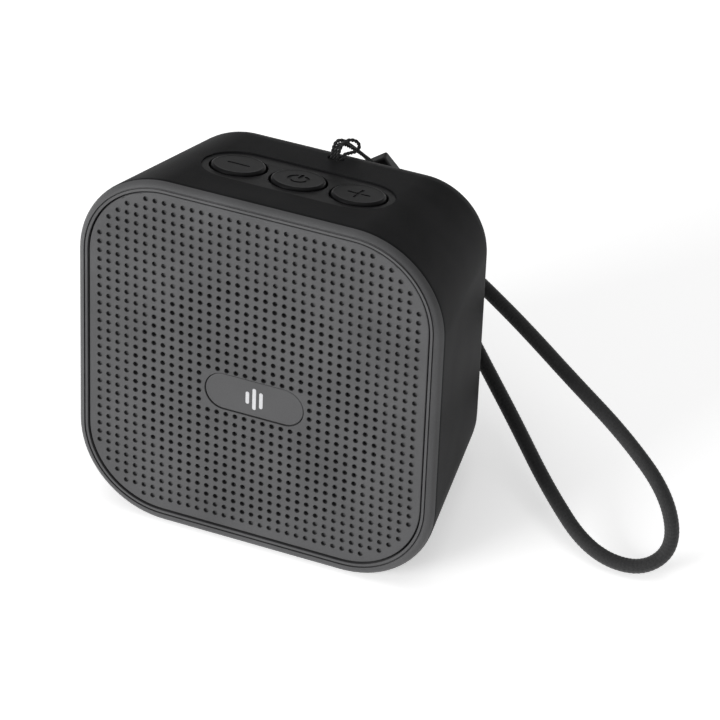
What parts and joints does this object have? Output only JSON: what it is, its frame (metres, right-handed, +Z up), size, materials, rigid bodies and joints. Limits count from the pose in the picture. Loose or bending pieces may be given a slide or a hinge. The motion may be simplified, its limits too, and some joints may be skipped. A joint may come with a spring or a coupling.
{
  "type": "shower speaker",
  "caption": "Small square portable wireless speaker with perforated front, soft sleeve, top buttons, covered rear ports and a wrist strap.",
  "frame": {"origin": "centre of the bounding box at floor level, strap left out; the body stands on its drafted underside and leans back 9.5 degrees", "axes": "+Z up, -Y towards the front grille, +X to the right as seen from in front"},
  "size_m": [0.14, 0.0731, 0.0889],
  "materials": {
    "bezel_plastic": "satin",
    "grille_plastic": "matte",
    "badge_plastic": "satin",
    "badge_foil": "satin",
    "scrim_cloth": "woven",
    "inner_plastic": "matte",
    "silicone": "matte",
    "seal_rubber": "matte",
    "button_plastic": "matte",
    "driver_steel": "satin",
    "ferrite": "matte",
    "cone_paper": "matte",
    "spider_cloth": "woven",
    "copper": "satin",
    "screw_steel": "satin",
    "circuit_board": "satin",
    "chip_plastic": "matte",
    "socket_metal": "satin",
    "switch_plunger": "satin",
    "clear_plastic": "clear",
    "cell_wrap": "satin",
    "pad_foam": "foam",
    "wire_insulation": "satin",
    "strap_tab_rubber": "satin",
    "strap_cord": "braided",
    "lanyard_string": "twisted"
  },
  "bodies": {
    "speaker_body": {"aux_socket": "chip_plastic", "badge_inlay": "badge_plastic", "badge_mark": "badge_foil", "battery_cell": "cell_wrap", "battery_guard": "circuit_board", "battery_pads": "pad_foam", "battery_wires": "wire_insulation", "board_chips": "chip_plastic", "board_screws": "screw_steel", "button_plate": "button_plastic", "card_socket": "socket_metal", "cone_surround": "seal_rubber", "driver_basket": "driver_steel", "driver_gasket": "seal_rubber", "driver_magnet": "ferrite", "driver_screws": "screw_steel", "driver_terminals": "inner_plastic", "driver_top_plate": "driver_steel", "driver_yoke": "driver_steel", "dust_scrim": "scrim_cloth", "front_bezel": "bezel_plastic", "front_frame": "inner_plastic", "front_grille": "grille_plastic", "grille_backing": "grille_plastic", "housing_screws": "screw_steel", "key_board": "circuit_board", "key_ribbon": "circuit_board", "key_screws": "screw_steel", "lanyard_bar": "screw_steel", "lanyard_hitch": "lanyard_string", "lanyard_tail_left": "lanyard_string", "lanyard_tail_right": "lanyard_string", "light_pipe": "clear_plastic", "main_board": "circuit_board", "microphone": "chip_plastic", "radio_module": "socket_metal", "rear_housing": "inner_plastic", "shell_seal": "seal_rubber", "silicone_sleeve": "silicone", "speaker_wires": "wire_insulation", "spider": "spider_cloth", "status_led": "clear_plastic", "strap_tab": "strap_tab_rubber", "tact_switches": "chip_plastic", "usb_socket": "socket_metal", "wire_headers": "inner_plastic", "wrist_cord": "strap_cord"},
    "button_minus": {"button_minus": "button_plastic"},
    "button_power": {"button_power": "button_plastic"},
    "button_plus": {"button_plus": "button_plastic"},
    "plunger_minus": {"switch_plunger_minus": "switch_plunger"},
    "plunger_power": {"switch_plunger_power": "switch_plunger"},
    "plunger_plus": {"switch_plunger_plus": "switch_plunger"},
    "cone_set": {"driver_cone": "cone_paper", "dust_cap": "cone_paper", "voice_coil": "copper"},
    "port_cover": {"port_cover": "silicone"}
  },
  "joints": [
    {"name": "button_minus_press", "type": "slide", "parent": "speaker_body", "child": "button_minus", "axis": [0, -0.3256, -0.9455], "range_m": [0, 0.0004], "stiffness_N_per_m": 4000},
    {"name": "button_power_press", "type": "slide", "parent": "speaker_body", "child": "button_power", "axis": [0, -0.3256, -0.9455], "range_m": [0, 0.0004], "stiffness_N_per_m": 4000},
    {"name": "button_plus_press", "type": "slide", "parent": "speaker_body", "child": "button_plus", "axis": [0, -0.3256, -0.9455], "range_m": [0, 0.0004], "stiffness_N_per_m": 4000},
    {"name": "plunger_minus_press", "type": "slide", "parent": "speaker_body", "child": "plunger_minus", "axis": [0, -0.3256, -0.9455], "range_m": [0, 0.0004]},
    {"name": "plunger_power_press", "type": "slide", "parent": "speaker_body", "child": "plunger_power", "axis": [0, -0.3256, -0.9455], "range_m": [0, 0.0004]},
    {"name": "plunger_plus_press", "type": "slide", "parent": "speaker_body", "child": "plunger_plus", "axis": [0, -0.3256, -0.9455], "range_m": [0, 0.0004]},
    {"name": "cone_travel", "type": "slide", "parent": "speaker_body", "child": "cone_set", "axis": [0, -0.9863, 0.165], "range_m": [-0.0012, 0.0012], "stiffness_N_per_m": 1500, "deforming": ["cone_surround", "spider"]},
    {"name": "port_cover_hinge", "type": "hinge", "parent": "speaker_body", "child": "port_cover", "pos_m": [-0.01595, 0.02351, 0.02373], "axis": [0, 0.165, 0.9863], "range_deg": [0, 100]}
  ],
  "couplings": [
    {"joint": "plunger_minus_press", "follows": "button_minus_press", "ratio": 1},
    {"joint": "plunger_power_press", "follows": "button_power_press", "ratio": 1},
    {"joint": "plunger_plus_press", "follows": "button_plus_press", "ratio": 1}
  ]
}
